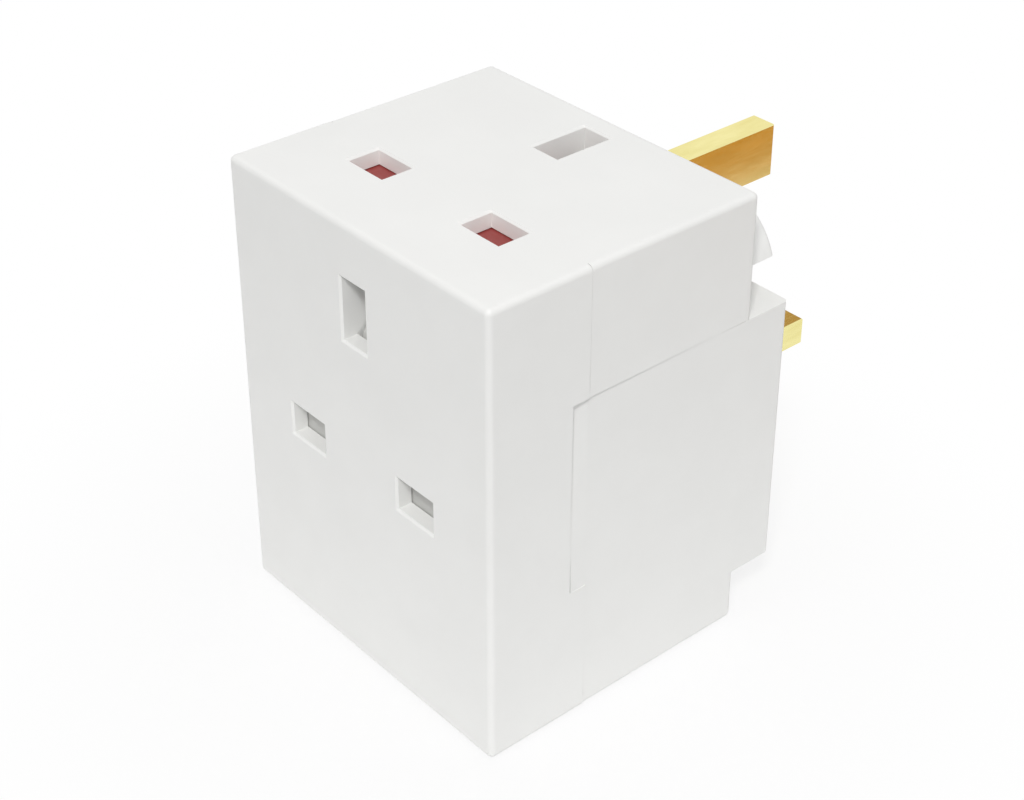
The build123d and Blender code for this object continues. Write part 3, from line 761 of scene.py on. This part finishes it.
@dataclass
class Studio:
    """A white sheet on a darker table, a white background, softboxes and glowing sheets that paint
    reflections on the pins.
    """

    floor_half: float = 3.0
    floor_drop: float = 0.2 * MM
    sheet_tone: float = 0.9
    table_tone: float = 0.4
    sheet_near: float = 0.06
    sheet_far: float = 0.24
    shadow_kept: float = 0.24
    shadow_near: float = 0.025
    shadow_far: float = 0.09
    sky: float = 0.48
    underside_reach: float = 0.8 * MM
    middle: Triple = (0.0, 0.0, 0.033)
    # Glowing sheets seen only in reflections: painted warm and brown reflections on the brass pins.
    painted_reflections: tuple[PaintedReflection, ...] = (
        PaintedReflection("warm_painted_reflection", place=(0.155, 0.185, 0.001), half=0.09, tint=(0.6, 0.28, 0.05)),
        PaintedReflection("brown_painted_reflection", place=(-0.01, 0.0745, 0.056), half=0.01, tint=(0.475, 0.28, 0.105)),
    )
    softboxes: tuple[Softbox, ...] = (
        Softbox(
            "key",
            azimuth=42.0,
            elevation=48.0,
            distance=0.9,
            size=0.14,
            power=4.1,
        ),
        Softbox(
            "overhead",
            azimuth=0.0,
            elevation=89.9,
            distance=0.8,
            size=0.6,
            power=0.27,
            glint=False,
        ),
        Softbox(
            "rear_fill",
            azimuth=175.0,
            elevation=40.0,
            distance=0.9,
            size=0.35,
            power=0.5,
            glint=False,
        ),
        Softbox(
            "right_fill",
            azimuth=108.0,
            elevation=30.0,
            distance=0.9,
            size=0.3,
            power=0.18,
            glint=False,
        ),
        Softbox(
            "left_fill",
            azimuth=262.0,
            elevation=18.0,
            distance=0.9,
            size=0.35,
            power=0.7,
            glint=False,
        ),
    )

    def seen(self, tree: bpy.types.NodeTree) -> bpy.types.NodeSocket:
        """One for what is seen directly, in gloss or through glass, and nought for other light.

        Args:
            tree: The node tree to work in.

        Returns:
            The value socket.
        """
        path = tree.nodes.new("ShaderNodeLightPath")
        value = path.outputs["Is Camera Ray"]
        for name in ("Is Glossy Ray", "Is Transmission Ray"):
            node = tree.nodes.new("ShaderNodeMath")
            node.operation = "MAXIMUM"
            tree.links.new(value, node.inputs[0])
            tree.links.new(path.outputs[name], node.inputs[1])
            value = node.outputs[0]
        return value

    def sheet(
        self, name: str, half: float, place: Sequence[float], material: bpy.types.Material
    ) -> bpy.types.Object:
        """Lay a flat square that belongs to the stage.

        Args:
            name: Its name.
            half: Half its side.
            place: Its middle.
            material: Its material.

        Returns:
            The square.
        """
        mesh = bmesh.new()
        bmesh.ops.create_grid(mesh, x_segments=1, y_segments=1, size=half)
        bmesh.ops.translate(mesh, vec=place, verts=list(mesh.verts))
        data = bpy.data.meshes.new(name)
        mesh.to_mesh(data)
        mesh.free()
        data.materials.append(material)
        square = bpy.data.objects.new(name, data)
        bpy.context.scene.collection.objects.link(square)
        return square

    def fade(
        self, nodes: NodeSheet, near: float, far: float, low: float, high: float
    ) -> bpy.types.NodeSocket:
        """A value that changes with the distance from the object.

        Args:
            nodes: The material's nodes.
            near: Where the change starts.
            far: Where it ends.
            low: The value at the object.
            high: The value far off.

        Returns:
            The value socket.
        """
        distance = nodes.add("ShaderNodeVectorMath", operation="LENGTH")
        nodes.join(nodes.place(), distance.inputs[0])
        change = nodes.add("ShaderNodeMapRange", interpolation_type="SMOOTHSTEP")
        limits = {"From Min": near, "From Max": far, "To Min": low, "To Max": high}
        for name, value in limits.items():
            change.inputs[name].default_value = value
        nodes.join(distance.outputs["Value"], change.inputs["Value"])
        return change.outputs["Result"]

    def build_floor(self) -> None:
        """Lay the floor: white but for a shadow, and clear from below and to the underside."""
        nodes = NodeSheet("floor_white")
        paper = nodes.add("ShaderNodeBsdfDiffuse")
        tone = self.fade(nodes, self.sheet_near, self.sheet_far, self.sheet_tone, self.table_tone)
        nodes.join(tone, paper.inputs["Color"])
        glow = nodes.add("ShaderNodeEmission")
        share = nodes.add("ShaderNodeMath", operation="MULTIPLY")
        white = self.fade(nodes, self.shadow_near, self.shadow_far, 1.0 - self.shadow_kept, 1.0)
        nodes.join(white, share.inputs[0])
        nodes.join(self.seen(nodes.tree), share.inputs[1])
        mix = nodes.add("ShaderNodeMixShader")
        nodes.join(share.outputs[0], mix.inputs["Fac"])
        nodes.join(paper.outputs[0], mix.inputs[1])
        nodes.join(glow.outputs[0], mix.inputs[2])
        close = nodes.add("ShaderNodeMath", operation="LESS_THAN")
        nodes.join(nodes.add("ShaderNodeLightPath").outputs["Ray Length"], close.inputs[0])
        close.inputs[1].default_value = self.underside_reach
        clear = nodes.add("ShaderNodeMath", operation="MAXIMUM")
        nodes.join(nodes.add("ShaderNodeNewGeometry").outputs["Backfacing"], clear.inputs[0])
        nodes.join(close.outputs[0], clear.inputs[1])
        one_way = nodes.add("ShaderNodeMixShader")
        nodes.join(clear.outputs[0], one_way.inputs["Fac"])
        nodes.join(mix.outputs[0], one_way.inputs[1])
        nodes.join(nodes.add("ShaderNodeBsdfTransparent").outputs[0], one_way.inputs[2])
        nodes.join(one_way.outputs[0], nodes.output.inputs["Surface"])
        self.sheet("floor", self.floor_half, (0.0, 0.0, -self.floor_drop), nodes.material)

    def build_painted_reflection(self, painted_reflection: PaintedReflection) -> None:
        """Lay a glowing sheet near the pins, seen only in their reflections: a painted reflection.

        Args:
            painted_reflection: The glowing sheet.
        """
        nodes = NodeSheet(painted_reflection.name)
        glow = nodes.add("ShaderNodeEmission")
        glow.inputs["Color"].default_value = (*painted_reflection.tint, 1.0)
        nodes.join(glow.outputs[0], nodes.output.inputs["Surface"])
        square = self.sheet(painted_reflection.name, painted_reflection.half, painted_reflection.place, nodes.material)
        # Only glossy rays see the glow, so it shows only as a painted reflection.
        square.visible_camera = False
        square.visible_diffuse = False
        square.visible_shadow = False

    def build_world(self) -> None:
        """Light the scene evenly from all round, with a white background."""
        world = bpy.data.worlds.new("studio")
        bpy.context.scene.world = world
        world.use_nodes = True
        tree = world.node_tree
        tree.nodes.clear()
        light = tree.nodes.new("ShaderNodeBackground")
        white = tree.nodes.new("ShaderNodeBackground")
        for background, strength in ((light, self.sky), (white, 1.0)):
            background.inputs["Color"].default_value = (1.0, 1.0, 1.0, 1.0)
            background.inputs["Strength"].default_value = strength
        mix = tree.nodes.new("ShaderNodeMixShader")
        output = tree.nodes.new("ShaderNodeOutputWorld")
        tree.links.new(self.seen(tree), mix.inputs["Fac"])
        tree.links.new(light.outputs[0], mix.inputs[1])
        tree.links.new(white.outputs[0], mix.inputs[2])
        tree.links.new(mix.outputs[0], output.inputs["Surface"])

    def build(self) -> None:
        """Set up the floor, the glowing sheets that paint reflections, the background and the
        lamps.
        """
        self.build_floor()
        for painted_reflection in self.painted_reflections:
            self.build_painted_reflection(painted_reflection)
        self.build_world()
        for softbox in self.softboxes:
            softbox.build(Vector(self.middle))


@dataclass
class PhotoCamera:
    """The camera at the photograph's angle."""

    place: Triple = (0.16824, -0.14116, 0.17803)
    azimuth: float = 49.351
    elevation: float = 30.249
    sensor: float = 36.0
    lens: float = 69.797
    shift: tuple[float, float] = (0.00199, -0.1123)
    nearest: float = 10.0 * MM

    def build(self) -> None:
        """Set the camera up."""
        data = bpy.data.cameras.new("photo_camera")
        data.sensor_width = self.sensor
        data.lens = self.lens
        data.shift_x, data.shift_y = self.shift
        data.clip_start = self.nearest
        camera = bpy.data.objects.new("photo_camera", data)
        camera.location = self.place
        pitch, turn = math.radians(90.0 - self.elevation), math.radians(self.azimuth)
        camera.rotation_euler = (pitch, 0.0, turn)
        bpy.context.scene.collection.objects.link(camera)
        bpy.context.scene.camera = camera


def main() -> None:
    """Build and dress the adaptor, then light and frame it."""
    logging.basicConfig(level=logging.INFO, format="%(name)s: %(message)s")
    bpy.context.scene.view_settings.view_transform = "Standard"
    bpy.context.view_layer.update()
    for assembly in (CaseShells(), PlugBase(), PlugPins(), Contacts(), CartridgeFuse()):
        assembly.dress()
    CaseScrews().build()
    for socket in Socket:
        gear = ShutterGear(socket, SHUTTER_FINISHES[socket])
        gear.build()
        gear.dress()
    Studio().build()
    PhotoCamera().build()


if __name__ == "__main__":
    main()
